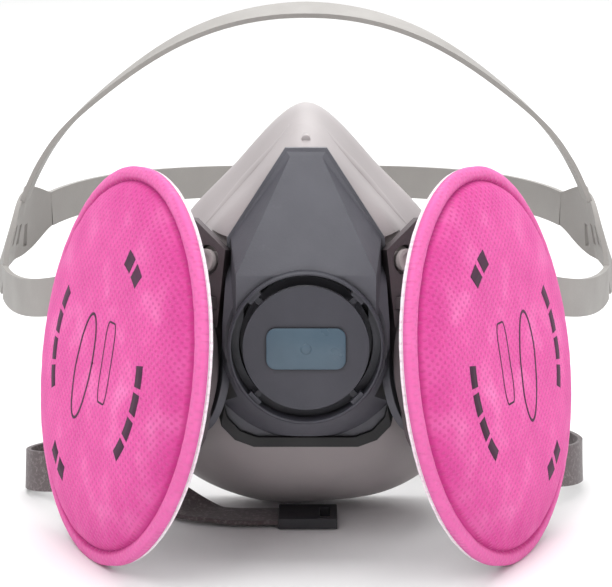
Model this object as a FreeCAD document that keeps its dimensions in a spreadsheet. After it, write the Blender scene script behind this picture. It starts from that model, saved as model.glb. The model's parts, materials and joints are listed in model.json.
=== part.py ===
"""Half-face respirator with two round particulate filters and a head harness.

Millimetres.  +Z is up, the face plate looks along -Y and the wearer's head is on the +Y side.
The mask stands on the lower rims of its two filters and on its chin, so z = 0 is the surface.
"""
import FreeCAD, Part
import math
import os
import Sketcher

Vector = FreeCAD.Vector

# Driving dimensions: alias, value, meaning.  They fill the spreadsheet that every sub-part reads.
DIMENSIONS = [
    ("depth_shift", 79.07, "moves the row so that its origin is under the middle of its box"),
    ("filter_half_gap", 51.5, "filter centre from the middle plane"),
    ("filter_height", 53.63, "filter centre above the surface"),
    ("filter_yaw", 63.0, "degrees each filter faces away from straight ahead"),
    ("filter_pitch", 10.0, "degrees each filter faces upwards"),
    ("filter_radius", 54.0, "round filter"),
    ("filter_weld", 3.6, "width of the flat welded rim"),
    ("filter_dome", 7.0, "rise of the front web above the rim"),
    ("filter_back_dome", 4.6, "rise of the back web"),
    ("web_thick", 0.8, "nonwoven web"),
    ("rim_thick", 1.8, "weld ring behind the front web"),
    ("port_stack", 16.5, "filter mid plane above the port plane"),
    ("port_bore", 12.8, "inside radius of the inhalation port"),
    ("port_outer", 15.2, "outside radius of the inhalation port"),
    ("port_top", 5.6, "port above its plane"),
    ("port_depth", 9.4, "port below its plane"),
    ("port_flange", 17.6, "inner flange radius"),
    ("lug_reach", 17.0, "bayonet lug radius"),
    ("lug_thick", 1.6, "bayonet lug"),
    ("bayonet_turn", 45.0, "degrees a filter turns to lock"),
    ("gasket_thick", 1.4, "port gasket"),
    ("hub_radius", 21.5, "filter connector"),
    ("fit_gap", 0.3, "running clearance between bodies"),
    ("plate_top", -4.6, "wing plate, outer face, from the port plane"),
    ("plate_thick", 2.4, "wing plate"),
    ("flap_radius", 11.4, "inhalation flap"),
    ("flap_thick", 0.6, "valve flaps"),
    ("stem_radius", 1.2, "valve stems"),
    ("stem_gap", 0.06, "clearance of a valve stem in its hub"),
    ("valve_lift", 1.5, "travel of each valve"),
    ("cover_height", 61.0, "exhalation valve axis above the surface"),
    ("cover_radius", 20.9, "exhalation cover wall, outside"),
    ("cover_wall", 0.9, "exhalation cover wall"),
    ("cover_disc", 16.9, "exhalation cover disc"),
    ("cover_front", -11.6, "front of the cover disc"),
    ("cover_back", -6.0, "back of the cover wall"),
    ("seat_radius", 18.0, "exhalation valve seat"),
    ("exhale_flap", 14.4, "exhalation flap"),
    ("adapter_back", 6.0, "back of the centre adapter"),
    ("adapter_flange", 2.0, "flange of the centre adapter"),
    ("adapter_wall", 2.2, "wall of the centre adapter"),
    ("drum_radius", 31.0, "lower body of the adapter at its back"),
    ("drum_front", 22.0, "lower body of the adapter at its front"),
    ("seal_width", 3.1, "black seal round the lower body"),
    ("shell_wall", 2.4, "facepiece elastomer"),
    ("seal_lip", 9.0, "inturned face seal"),
    ("ear_yaw", 38.0, "turn of the wing's ear from straight ahead"),
    ("ear_across", 27.0, "centre of the ear's hole from the middle"),
    ("ear_depth", 4.5, "centre of the ear's hole, distance back"),
    ("ear_height", 81.8, "centre of the ear's hole above the surface"),
    ("step_top", -0.8, "bridge between the wing plate and its ear, outer face"),
    ("button_hole", 4.2, "hole in the ear"),
    ("button_radius", 2.5, "strap button"),
    ("button_head", 3.1, "strap button head"),
    ("button_top", 1.2, "strap button, outer end"),
    ("strap_level", -4.6, "strap end behind the ear"),
    ("strap_width", 11.5, "head and upper straps"),
    ("strap_thick", 1.6, "head and upper straps"),
    ("strap_end", 4.4, "radius of the upper strap's buttoned end"),
    ("tab_height", 31.0, "side tab"),
    ("elastic_width", 12.0, "neck strap"),
    ("elastic_thick", 1.4, "neck strap"),
    ("buckle_length", 17.0, "neck buckle along the strap"),
]

# Facepiece outlines from front to back: distance back, then top, nose, upper, cheek, chin, bottom.
# Each outline is symmetric, so a pair is (half width, height) and top and bottom are heights.
FACE_SECTIONS = {
    "front": (6.0, 111.6, (6.6, 108.4), (20.8, 88.0), (24.5, 64.0), (21.6, 39.0), 30.4),
    "bridge": (19.0, 115.8, (7.0, 112.0), (26.6, 88.5), (33.6, 62.0), (31.0, 27.0), 14.0),
    "cheek": (35.0, 119.6, (7.6, 115.4), (30.6, 88.5), (42.6, 60.0), (37.6, 18.5), 4.2),
    "seal": (49.0, 119.2, (8.2, 114.8), (33.6, 88.0), (46.0, 60.0), (39.0, 14.0), 0.38),
    "rear": (53.0, 117.0, (7.8, 112.8), (32.2, 87.0), (44.4, 60.0), (37.4, 15.6), 1.8),
}

# Straps on the left side: centre points, each with the direction of the strap's width.
UP = (0.0, 0.0, 1.0)
UPPER_STRAP = [
    ((-31.1, 13.9, 80.6), (0.107, 0.137, 0.985)), ((-36.9, 24.0, 79.0), UP), ((-46.9, 33.6, 73.4), UP),
    ((-59.6, 45.0, 66.4), UP),
    ((-77.0, 60.5, 59.6), UP), ((-90.0, 84.0, 55.4), UP), ((-97.2, 108.0, 54.6), UP),
]
REAR_STRAP = [
    ((-86.6, 145.0, 72.0), UP), ((-72.0, 170.0, 73.4), UP), ((-42.0, 195.0, 73.0), UP),
    ((0.0, 206.0, 72.0), UP),
]
CROWN_STRAP = [
    ((-92.2, 124.4, 78.6), (0.0, -1.0, 0.1)), ((-88.0, 124.4, 88.0), (0.0, -1.0, 0.1)),
    ((-80.2, 124.8, 100.0), (0.0, -1.0, 0.06)), ((-66.6, 126.6, 113.0), (0.0, -1.0, -0.04)),
    ((-37.0, 133.0, 132.0), (0.0, -1.0, -0.18)), ((0.0, 136.0, 139.6), (0.0, -1.0, -0.28)),
]
SIDE_TAB = [
    ((-97.2, 108.0, 54.6), UP), ((-98.6, 118.0, 61.4), (0.3, 0.0, 0.95)),
    ((-95.4, 131.0, 68.6), (0.38, 0.0, 0.92)), ((-86.6, 145.0, 72.0), UP),
]
NECK_STRAP_LEFT = [
    ((-60.0, 31.0, 15.6), (0.4, 0.2, 0.9)), ((-76.6, 46.0, 9.4), (0.3, 0.0, 1.0)),
    ((-84.4, 60.0, 6.8), (0.0, 0.0, 1.0)),
    ((-75.0, 69.0, 6.6), (0.0, 0.0, 1.0)), ((-59.0, 58.0, 6.4), (0.0, 0.3, 1.0)),
    ((-43.0, 40.0, 4.6), (0.2, 0.9, 0.6)), ((-26.0, 27.6, 2.0), (0.0, 1.0, 0.0)),
    ((-12.0, 26.4, 1.8), (0.0, 1.0, 0.0)), ((-4.0, 26.4, 1.8), (0.0, 1.0, 0.0)),
]
NECK_STRAP_RIGHT = [
    ((60.0, 31.0, 16.4), (-0.4, 0.2, 0.9)), ((77.0, 47.0, 10.8), (-0.3, 0.0, 1.0)),
    ((84.0, 64.0, 8.6), (0.0, 0.0, 1.0)),
    ((76.0, 80.0, 8.2), (0.0, 0.0, 1.0)), ((60.0, 84.0, 8.2), (0.0, 0.0, 1.0)),
    ((52.0, 84.0, 8.2), (0.0, 0.0, 1.0)),
]
TAIL_END = 12.0

doc = FreeCAD.newDocument("respirator")
dims = doc.addObject("Spreadsheet::Sheet", "dims")
sub_parts = []


def fill_sheet():
    """Write the driving dimensions and the facepiece outlines into the spreadsheet."""
    rows = [(name, number) for name, number, meaning in DIMENSIONS]
    for section, (back, top, nose, upper, cheek, chin, bottom) in FACE_SECTIONS.items():
        rows += [(f"{section}_back", back), (f"{section}_top", top), (f"{section}_bottom", bottom)]
        for place, pair in (("nose", nose), ("upper", upper), ("cheek", cheek), ("chin", chin)):
            rows += [(f"{section}_{place}_half", pair[0]), (f"{section}_{place}_height", pair[1])]
    for row, (alias, number) in enumerate(rows, start=1):
        dims.set(f"A{row}", alias)
        dims.set(f"B{row}", str(number))
        dims.setAlias(f"B{row}", alias)
    doc.recompute()


def value(expression):
    """The number that an expression on the spreadsheet gives."""
    return float(dims.evalExpression(str(expression)))


def size(alias):
    return float(dims.get(alias))


def shift():
    """The whole row moves forwards, so that the origin is under the middle of its box."""
    return FreeCAD.Placement(Vector(0, -size("depth_shift"), 0), FreeCAD.Rotation())


def keep(thing, label, placement=None):
    """Name a finished sub-part, place it in the row's frame and list it for export."""
    thing.Label = label
    thing.Placement = shift().multiply(placement or FreeCAD.Placement())
    sub_parts.append(thing)
    return thing


def keep_shape(label, shape):
    """A sub-part whose form no sketch or primitive gives: its Shape is set from code."""
    feature = doc.addObject("Part::Feature", label)
    feature.Shape = shape
    return keep(feature, label, feature.Placement)


def largest(shape):
    """The main solid of a boolean's result, without its offcuts."""
    return max(shape.Solids, key=lambda solid: solid.Volume)


def port_frame(side):
    """Frame of one inhalation port: Z out of the port, X forwards and towards the middle."""
    centre = Vector(side * size("filter_half_gap"), 0, size("filter_height"))
    return turned_frame(side, size("filter_yaw"), centre, size("port_stack"))


def ear_frame(side):
    """Frame of one wing's ear, at the centre of its hole: Z outwards, X towards the middle."""
    centre = Vector(side * size("ear_across"), size("ear_depth"), size("ear_height"))
    return turned_frame(side, size("ear_yaw"), centre, 0.0)


def turned_frame(side, turn, centre, behind):
    """Frame turned from straight ahead to one side and pitched up like the filters."""
    yaw = math.radians(turn)
    pitch = math.radians(size("filter_pitch"))
    out = Vector(side * math.sin(yaw) * math.cos(pitch), -math.cos(yaw) * math.cos(pitch),
                 math.sin(pitch))
    inward = Vector(-side * math.cos(yaw), -math.sin(yaw), 0)
    across = out.cross(inward)
    origin = centre - out * behind
    matrix = FreeCAD.Matrix(inward.x, across.x, out.x, origin.x,
                            inward.y, across.y, out.y, origin.y,
                            inward.z, across.z, out.z, origin.z,
                            0, 0, 0, 1)
    return FreeCAD.Placement(matrix)


def cover_frame():
    """Frame of the exhalation valve: Z points forwards out of the mask, X to the right."""
    rotation = FreeCAD.Rotation(Vector(1, 0, 0), 90)
    return FreeCAD.Placement(Vector(0, 0, size("cover_height")), rotation)


def plane_of(body, role):
    return next(plane for plane in body.Origin.OriginFeatures if plane.Role == role)


def new_sketch(body, name, role):
    sketch = body.newObject("Sketcher::SketchObject", name)
    sketch.AttachmentSupport = [(plane_of(body, role), "")]
    sketch.MapMode = "FlatFace"
    return sketch


def closed_outline(sketch, corners):
    """Closed outline of straight lines whose corners are expressions on the spreadsheet."""
    spots = [Vector(value(across), value(along), 0) for across, along in corners]
    count = len(spots)
    for index in range(count):
        sketch.addGeometry(Part.LineSegment(spots[index], spots[(index + 1) % count]))
    for index in range(count):
        sketch.addConstraint(Sketcher.Constraint("Coincident", index, 2, (index + 1) % count, 1))
    for index, (across, along) in enumerate(corners):
        for kind, expression in (("DistanceX", across), ("DistanceY", along)):
            constraint = Sketcher.Constraint(kind, -1, 1, index, 1, value(expression))
            place = sketch.addConstraint(constraint)
            sketch.setExpression(f"Constraints[{place}]", str(expression))


def circle(sketch, radius):
    """Circle about the sketch's origin with its radius bound to the spreadsheet."""
    curve = sketch.addGeometry(Part.Circle(Vector(0, 0, 0), Vector(0, 0, 1), value(radius)))
    sketch.addConstraint(Sketcher.Constraint("Coincident", curve, 3, -1, 1))
    place = sketch.addConstraint(Sketcher.Constraint("Radius", curve, value(radius)))
    sketch.setExpression(f"Constraints[{place}]", radius)


def turned_body(name, corners):
    """Body turned about its Z axis from an outline of (radius, height) expressions."""
    body = doc.addObject("PartDesign::Body", name)
    sketch = new_sketch(body, name + "_profile", "XZ_Plane")
    closed_outline(sketch, corners)
    turn = body.newObject("PartDesign::Revolution", name + "_turn")
    turn.Profile = sketch
    turn.ReferenceAxis = (sketch, ["V_Axis"])
    turn.Angle = 360
    doc.recompute()
    return body


def around(body, feature, name, copies):
    """Repeat a feature about the body's Z axis."""
    pattern = body.newObject("PartDesign::PolarPattern", name)
    pattern.Originals = [feature]
    pattern.Axis = (plane_of(body, "Z_Axis"), [""])
    pattern.Angle = 360
    pattern.Occurrences = copies
    body.Tip = pattern
    doc.recompute()
    return pattern


def bars(body, name, near, far, half, low, high, copies, turn=0, kind="Pad"):
    """Equal radial bars between two heights, added to a turned body or cut out of it."""
    sketch = new_sketch(body, name + "_sketch", "XY_Plane")
    sketch.AttachmentOffset = FreeCAD.Placement(
        Vector(0, 0, value(low)), FreeCAD.Rotation(Vector(0, 0, 1), turn))
    sketch.setExpression("AttachmentOffset.Base.z", low)
    closed_outline(sketch, [(near, f"-({half})"), (far, f"-({half})"), (far, half), (near, half)])
    bar = body.newObject("PartDesign::" + kind, name)
    bar.Profile = sketch
    bar.setExpression("Length", f"({high}) - ({low})")
    bar.Reversed = kind == "Pocket"
    body.Tip = bar
    doc.recompute()
    return around(body, bar, name + "_ring", copies)


def filter_parts(side, name):
    """One filter: two nonwoven webs, the media pack, the weld ring and the plastic connector."""
    frame = port_frame(side)
    mid = "dims.port_stack"
    inner = "dims.filter_radius - dims.filter_weld"
    rim = "dims.filter_radius"
    web = "dims.web_thick"
    low = f"{mid} - dims.filter_back_dome"
    high = f"{mid} + dims.filter_dome"

    front = turned_body("filter_front_" + name, [
        ("0", f"{high} - {web}"), (f"{inner} - 14", f"{high} - {web} - 0.9"),
        (f"{inner} - 3", f"{high} - {web} - 3.6"), (inner, f"{mid} + 0.2"), (inner, mid),
        (rim, mid), (rim, f"{mid} + {web}"), (f"{inner} + 0.8", f"{mid} + {web}"),
        (f"{inner} - 2.2", f"{high} - 3.2"), (f"{inner} - 14", f"{high} - 0.9"), ("0", high)])
    keep(front, "filter_front_" + name, frame)

    media = turned_body("filter_media_" + name, [
        ("dims.port_bore", low), (f"{inner} - 6", low), (f"{inner} - 1", f"{mid} - 0.6"),
        (f"{inner} - 1", mid), (f"{inner} - 4", f"{high} - {web} - 3.9"),
        (f"{inner} - 15", f"{high} - {web} - 1.6"), ("0", f"{high} - {web} - 0.6"),
        ("0", f"{low} + 3"), ("dims.port_bore", f"{low} + 3")])
    keep(media, "filter_media_" + name, frame)

    back = turned_body("filter_back_" + name, [
        ("dims.hub_radius - 2", f"{low} - {web}"), (f"{inner} - 7", f"{low} - {web}"),
        (f"{inner} + 0.4", f"{mid} - dims.rim_thick - {web}"),
        (rim, f"{mid} - dims.rim_thick - {web}"), (rim, f"{mid} - dims.rim_thick"),
        (f"{inner} - 0.4", f"{mid} - dims.rim_thick"), (f"{inner} - 6", f"{low} - 0.05"),
        ("dims.hub_radius - 2", f"{low} - 0.05")])
    keep(back, "filter_back_" + name, frame)

    weld = turned_body("filter_rim_" + name, [
        (inner, f"{mid} - dims.rim_thick"), (rim, f"{mid} - dims.rim_thick"),
        (rim, mid), (inner, mid)])
    keep(weld, "filter_rim_" + name, frame)

    lug_top = "dims.port_top - dims.lug_thick"
    hub = turned_body("filter_connector_" + name, [
        ("dims.port_outer + dims.fit_gap", "dims.gasket_thick + dims.fit_gap"),
        ("dims.hub_radius - 1", "dims.gasket_thick + dims.fit_gap"),
        ("dims.hub_radius", "dims.gasket_thick + 1.3"),
        ("dims.hub_radius", f"{low} - {web}"), ("dims.hub_radius - 2", f"{low} - {web}"),
        ("dims.hub_radius - 2", f"{low} - 0.05"), ("dims.port_bore", f"{low} - 0.05"),
        ("dims.port_bore", "dims.port_top + dims.fit_gap"),
        ("dims.lug_reach + dims.fit_gap", "dims.port_top + dims.fit_gap"),
        ("dims.lug_reach + dims.fit_gap", f"{lug_top} - dims.fit_gap"),
        ("dims.port_outer + dims.fit_gap", f"{lug_top} - dims.fit_gap")])
    before = hub.Shape.Volume
    bars(hub, f"notch_{name}", "dims.port_outer - 1", "dims.lug_reach + dims.fit_gap", "3.4",
         "dims.gasket_thick + dims.fit_gap - 0.5", f"{lug_top} - dims.fit_gap + 0.2", 3,
         -value("dims.bayonet_turn"), "Pocket")
    if hub.Shape.Volume >= before - 1:
        raise RuntimeError("the bayonet notches cut nothing")
    bars(hub, f"grip_{name}", "dims.hub_radius - 0.6", "dims.hub_radius + 0.9", "0.9",
         "dims.gasket_thick + 1.4", f"{low} - {web} - 0.2", 12)
    keep(hub, "filter_connector_" + name, frame)


def port_parts(side, name):
    """Inhalation port with its bayonet lugs, gasket and flap valve."""
    frame = port_frame(side)
    deep = "-(dims.port_depth)"
    port = turned_body("inhalation_port_" + name, [
        ("dims.port_bore", deep), ("dims.port_flange", deep),
        ("dims.port_flange", "dims.plate_top - dims.plate_thick"),
        ("dims.port_outer", "dims.plate_top - dims.plate_thick"), ("dims.port_outer", "0"),
        ("dims.port_outer", "dims.port_top"), ("dims.port_bore", "dims.port_top")])
    bars(port, f"lug_{name}", "dims.port_outer - 0.5", "dims.lug_reach", "3",
         "dims.port_top - dims.lug_thick", "dims.port_top", 3)
    bars(port, f"spoke_{name}", "2.2", "dims.port_bore + 0.5", "0.8", "-3.6", "-2", 4)
    sketch = new_sketch(port, f"valve_hub_{name}_sketch", "XY_Plane")
    sketch.AttachmentOffset = FreeCAD.Placement(Vector(0, 0, -3.6), FreeCAD.Rotation())
    circle(sketch, "dims.stem_radius + 1.8")
    circle(sketch, "dims.stem_radius + dims.stem_gap")
    hub = port.newObject("PartDesign::Pad", f"valve_hub_{name}")
    hub.Profile = sketch
    hub.Length = 1.6
    port.Tip = hub
    hole_sketch = new_sketch(port, f"valve_hole_{name}_sketch", "XY_Plane")
    circle(hole_sketch, "dims.stem_radius + dims.stem_gap")
    hole = port.newObject("PartDesign::Pocket", f"valve_hole_{name}")
    hole.Profile = hole_sketch
    hole.Type = "ThroughAll"
    hole.Midplane = True
    port.Tip = hole
    keep(port, "inhalation_port_" + name, frame)

    gasket = turned_body("port_gasket_" + name, [
        ("dims.port_outer", "0"), ("dims.hub_radius - 1.5", "0"),
        ("dims.hub_radius - 1.5", "dims.gasket_thick"), ("dims.port_outer", "dims.gasket_thick")])
    keep(gasket, "port_gasket_" + name, frame)

    collar = turned_body("port_collar_" + name, [
        ("dims.port_outer", "dims.plate_top"), ("dims.hub_radius - 1.5", "dims.plate_top"),
        ("dims.hub_radius - 1.5", "0"), ("dims.port_outer", "0")])
    keep(collar, "port_collar_" + name, frame)

    valve_parts("inhalation_valve_" + name, frame, "dims.flap_radius", "-3.7", "-3.6", "-2")


def valve_parts(name, frame, radius, face, hub_low, hub_high):
    """Mushroom valve: a flap below its seat, a stem through the hub and a retaining bulb."""
    bulb = f"{hub_high} + dims.valve_lift + 0.3"
    valve = turned_body(name, [
        ("0", f"{face} - dims.flap_thick"), (radius, f"{face} - dims.flap_thick"),
        (radius, face), ("dims.stem_radius", face), ("dims.stem_radius", bulb),
        ("dims.stem_radius + 0.7", bulb), ("dims.stem_radius + 0.3", f"{bulb} + 1.4"),
        ("0", f"{bulb} + 1.8")])
    keep(valve, name, frame)


def exhalation_parts():
    """Exhalation valve in the centre adapter: seat, flap and the slotted cover."""
    frame = cover_frame()
    seat = turned_body("exhalation_valve_seat", [
        ("11", "0.4"), ("dims.seat_radius", "0.4"), ("dims.seat_radius", "3"),
        ("15", "3"), ("15", "2.2"), ("11", "2.2")])
    bars(seat, "seat_spoke", "2.2", "11.5", "0.8", "0.6", "2.2", 4)
    sketch = new_sketch(seat, "seat_hub_sketch", "XY_Plane")
    sketch.AttachmentOffset = FreeCAD.Placement(Vector(0, 0, 0.6), FreeCAD.Rotation())
    circle(sketch, "dims.stem_radius + 1.8")
    circle(sketch, "dims.stem_radius + dims.stem_gap")
    hub = seat.newObject("PartDesign::Pad", "seat_hub")
    hub.Profile = sketch
    hub.Length = 1.6
    seat.Tip = hub
    hole_sketch = new_sketch(seat, "seat_hole_sketch", "XY_Plane")
    circle(hole_sketch, "dims.stem_radius + dims.stem_gap")
    hole = seat.newObject("PartDesign::Pocket", "seat_hole")
    hole.Profile = hole_sketch
    hole.Type = "ThroughAll"
    hole.Midplane = True
    seat.Tip = hole
    keep(seat, "exhalation_valve_seat", frame)

    face = "2.3"
    stem_end = "0.6 - dims.valve_lift - 0.3"
    flap = turned_body("exhalation_valve", [
        ("0", f"{face} + dims.flap_thick"), ("dims.exhale_flap", f"{face} + dims.flap_thick"),
        ("dims.exhale_flap", face), ("dims.stem_radius", face), ("dims.stem_radius", stem_end),
        ("dims.stem_radius + 0.7", stem_end), ("dims.stem_radius + 0.3", f"{stem_end} - 1.4"),
        ("0", f"{stem_end} - 1.8")])
    keep(flap, "exhalation_valve", frame)

    front = "-(dims.cover_front)"
    back = "-(dims.cover_back)"
    inside = "dims.cover_radius - dims.cover_wall"
    wall = turned_body("exhalation_cover", [
        (inside, back), ("dims.cover_radius", back), ("dims.cover_radius", f"{front} + 0.2"),
        ("dims.cover_radius - 0.5", f"{front} + 0.7"), (inside, f"{front} + 0.7")])
    bars(wall, "cover_spoke", "4", f"{inside} + 0.3", "0.8", f"{front} - 2.6", f"{front} - 1.2",
         4, 45)
    bars(wall, "cover_ear", f"{inside} - 1.2", f"{inside} + 0.3", "2", f"{front} - 2.6", front,
         4, 45)
    disc_sketch = new_sketch(wall, "cover_disc_sketch", "XY_Plane")
    disc_sketch.AttachmentOffset = FreeCAD.Placement(Vector(0, 0, value(front)),
                                                     FreeCAD.Rotation())
    disc_sketch.setExpression("AttachmentOffset.Base.z", front)
    circle(disc_sketch, "dims.cover_disc")
    disc = wall.newObject("PartDesign::Pad", "cover_disc")
    disc.Profile = disc_sketch
    disc.Length = 1.8
    disc.Reversed = True
    wall.Tip = disc
    keep(wall, "exhalation_cover", frame)


def face_outline(section, inset=0.0, shrink=1.0):
    """Smooth closed outline of the facepiece at one section, inset by a wall or shrunk."""
    places = ["nose", "upper", "cheek", "chin"]
    half = [(size(f"{section}_{place}_half") - inset, size(f"{section}_{place}_height"))
            for place in places]
    half.insert(1, (0.495 * (half[0][0] + half[1][0]), 0.5 * (half[0][1] + half[1][1])))
    half[0] = (half[0][0] * (1 - 0.02 * inset), half[0][1] - inset)
    half[-1] = (half[-1][0], half[-1][1] + 0.7 * inset)
    top = size(f"{section}_top") - 1.3 * inset
    bottom = size(f"{section}_bottom") + inset
    half.append((0.55 * half[-1][0], bottom + 0.2 * (half[-1][1] - bottom)))
    depth = size(f"{section}_back")
    left = [Vector(-across, depth, height) for across, height in reversed(half)]
    right = [Vector(across, depth, height) for across, height in half]
    points = [Vector(0, depth, bottom)] + left + [Vector(0, depth, top)] + right
    middle = (top + bottom) / 2
    points = [Vector(spot.x * shrink, depth, middle + (spot.z - middle) * shrink)
              for spot in points]
    curve = Part.BSplineCurve()
    curve.interpolate(points, PeriodicFlag=True)
    return Part.Wire(curve.toShape())


def moved_wire(wire, back):
    copy = wire.copy()
    copy.translate(Vector(0, back, 0))
    return copy


def facepiece(cutters):
    """Hollow elastomer facepiece: open at the adapter and at the ports, with a face seal."""
    wall = size("shell_wall")
    names = list(FACE_SECTIONS)
    outer = Part.makeLoft([face_outline(name) for name in names], True, False)
    inner = [moved_wire(face_outline("front", wall + 1.0), -wall * 2)]
    inner += [face_outline(name, wall) for name in names[:-1]]
    cavity = Part.makeLoft(inner, True, False)
    shrink = 1 - size("seal_lip") / size("rear_cheek_half")
    mouth = Part.Face(moved_wire(face_outline("rear", 0.0, shrink), -3 * wall))
    mouth = mouth.extrude(Vector(0, 6 * wall, 0))
    shell = outer.cut(cavity).cut(mouth)
    for cutter in cutters:
        shell = shell.cut(cutter)
    return largest(shell)


def flat_outline(points):
    return Part.makePolygon([Vector(*point) for point in points + points[:1]])


def prism(points, direction):
    return Part.Face(flat_outline(points)).extrude(Vector(*direction))


def faceted(corners, faces):
    """Closed solid from corner points and triangles between them."""
    spots = [Vector(*corner) for corner in corners]
    skins = [Part.Face(Part.makePolygon([spots[index] for index in face + face[:1]]))
             for face in faces]
    shell = Part.Shell(skins)
    shell.sewShape()
    solid = Part.Solid(shell)
    if solid.Volume < 0:
        solid.reverse()
    return solid


def nose_wedge(inset):
    """Sloping front of the adapter, from the nose down to the exhalation cover."""
    back = size("adapter_back") - size("adapter_flange") + 2 * inset
    front = -10.0 + inset
    near = size("cover_height") - 2.0
    corners = [(4.3 - inset / 2, 3.0 + inset, 110.3 - inset), (18.6 - inset, front, 80.4),
               (18.6 - inset, front, near), (21.6 - inset, back, near),
               (20.4 - inset, back, 88.0), (5.2 - inset / 2, back, 111.6 - inset)]
    mirrored = [(-across, depth, height) for across, depth, height in corners]
    right = [[0, 1, 4], [0, 4, 5], [1, 2, 3], [1, 3, 4]]
    faces = right + [[6 + index for index in face] for face in right]
    for low, high in ((0, 1), (1, 2), (2, 3), (3, 4), (4, 5), (5, 0)):
        faces += [[low, high, 6 + high], [low, 6 + high, 6 + low]]
    return faceted(corners + mirrored, faces)


def adapter_outline(grow, depth):
    """Outline of the adapter's flange, grown by a margin."""
    right = [(5.6, 112.6), (21.4, 88.0), (22.9, 65.5), (23.0, 43.4), (21.6, 38.0), (18.2, 34.2),
             (13.4, 32.4)]
    centre = Vector(0, 0, 70)
    points = []
    for across, height in right + [(-across, height) for across, height in reversed(right)]:
        away = (Vector(across, 0, height) - centre).normalize() * grow
        points.append((across + away.x, depth, height + away.z))
    return points


def centre_adapter():
    """Hard centre body: flange, sloping nose plate and the drum of the exhalation valve."""
    back = size("adapter_back")
    height = size("cover_height")
    thick = size("adapter_flange")
    front = size("cover_back")
    flange = prism(adapter_outline(0, back), (0, -thick, 0))
    drum = Part.makeCone(size("drum_radius"), size("drum_front"), back - front,
                         Vector(0, back, height), Vector(0, -1, 0))
    drum = drum.common(prism(adapter_outline(-0.4, back), (0, -20, 0)))
    body = flange.fuse([nose_wedge(0.0), drum])
    wall = size("adapter_wall")
    bore = Part.makeCylinder(size("seat_radius"), 30, Vector(0, back + 1, height),
                             Vector(0, -1, 0))
    cover_room = Part.makeCylinder(size("cover_radius"), 30, Vector(0, front, height),
                                   Vector(0, -1, 0))
    body = body.cut([nose_wedge(wall), bore, cover_room])
    seat_hold = Part.makeCylinder(size("seat_radius") + 1, 3, Vector(0, 2.6, height),
                                  Vector(0, -1, 0))
    seat_hole = Part.makeCylinder(size("seat_radius") - 3, 12, Vector(0, 6, height),
                                  Vector(0, -1, 0))
    body = body.fuse(seat_hold.cut(seat_hole)).removeSplitter()
    for side in (-1, 1):
        body = body.cut(port_room(side))
    return largest(body)


def adapter_seal():
    """Black seal between the adapter's lower body and the facepiece."""
    back = size("adapter_back")
    width = size("seal_width")
    ring = prism(adapter_outline(width, back), (0, -width, 0))
    ring = ring.cut(prism(adapter_outline(0, back + 1), (0, -30, 0)))
    lower = Part.makeBox(80, 20, 40, Vector(-40, -4, 20))
    ring = ring.common(lower)
    for side in (-1, 1):
        ring = ring.cut(port_room(side))
    return largest(ring)


# Yoke wing in its port's frame, forwards and up: the plate round the port and the raised ear.
WING_PLATE = [(13.0, 20.0), (15.2, 0.0), (13.5, -16.0), (6.0, -28.0), (-14.0, -28.0),
              (-21.0, -19.0), (-21.0, 10.0), (-10.0, 20.0)]
WING_BRIDGE = [(13.0, 19.6), (12.2, 22.6), (-4.4, 22.6), (-6.4, 19.6)]
# In the ear's own frame: the ear, the hollow behind it and the end of the strap.
WING_EAR = [(6.1, -17.6), (6.1, 3.5), (-6.5, 11.0), (-10.9, 8.0), (-10.9, -10.0), (-3.0, -17.6)]
EAR_HOLLOW = [(3.7, -6.4), (3.7, 6.8), (-10.4, 9.0), (-10.4, -9.0)]
STRAP_TRIM = [(2.7, -20.0), (2.7, 20.0), (20.0, 20.0), (20.0, -20.0)]


def slab(frame, side, outline, low, high):
    """Slab over an outline in a port's or an ear's frame, between two heights."""
    points = [Vector(across, -side * up, low) for across, up in outline]
    made = Part.Face(Part.makePolygon(points + points[:1])).extrude(Vector(0, 0, high - low))
    made.Placement = frame
    return made


def port_slab(side, outline, low, high):
    """Slab over an outline in a port's frame, between two heights."""
    return slab(port_frame(side), side, outline, low, high)


def ear_slab(side, outline, low, high):
    """Slab over an outline in an ear's frame, between two heights."""
    return slab(ear_frame(side), side, outline, low, high)


def cylinder(frame, radius, low, high):
    """Cylinder along a frame's axis, between two heights."""
    post = Part.makeCylinder(radius, high - low, Vector(0, 0, low))
    post.Placement = frame
    return post


def port_cylinder(side, radius, low, high):
    """Cylinder along a port's axis."""
    return cylinder(port_frame(side), radius, low, high)


def ear_cylinder(side, radius, low, high):
    """Cylinder along the axis of an ear's hole."""
    return cylinder(ear_frame(side), radius, low, high)


def port_room(side):
    """Room that a port, its collar and its flap need inside the centre adapter."""
    room = size("fit_gap")
    deep = -size("port_depth") - 3.0
    low = size("plate_top") - size("plate_thick")
    flange = port_cylinder(side, size("port_flange") + room, deep, low)
    collar = port_cylinder(side, size("hub_radius") - 1.5 + room, low, 20.0)
    return flange.fuse(collar)


def yoke_wing(side, adapter):
    """Plate on the cheek round the port, stepping up to an ear with the hole for a button."""
    low = size("plate_top") - size("plate_thick")
    ear_low = -size("plate_thick")
    wing = port_slab(side, WING_PLATE, low, size("plate_top"))
    wing = wing.fuse([port_slab(side, WING_BRIDGE, low, size("step_top")),
                      ear_slab(side, WING_EAR, ear_low, 0)]).removeSplitter()
    wing = wing.cut(port_cylinder(side, size("port_outer"), low - 1, size("plate_top") + 1))
    wing = wing.cut(port_cylinder(side, size("hub_radius") - 1.5, size("plate_top"), 20))
    wing = wing.cut(port_cylinder(side, size("hub_radius") + 1.4, -0.4, 20))
    wing = wing.cut(ear_cylinder(side, size("button_hole"), ear_low - 4, 4))
    return largest(wing.cut(adapter))


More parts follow.
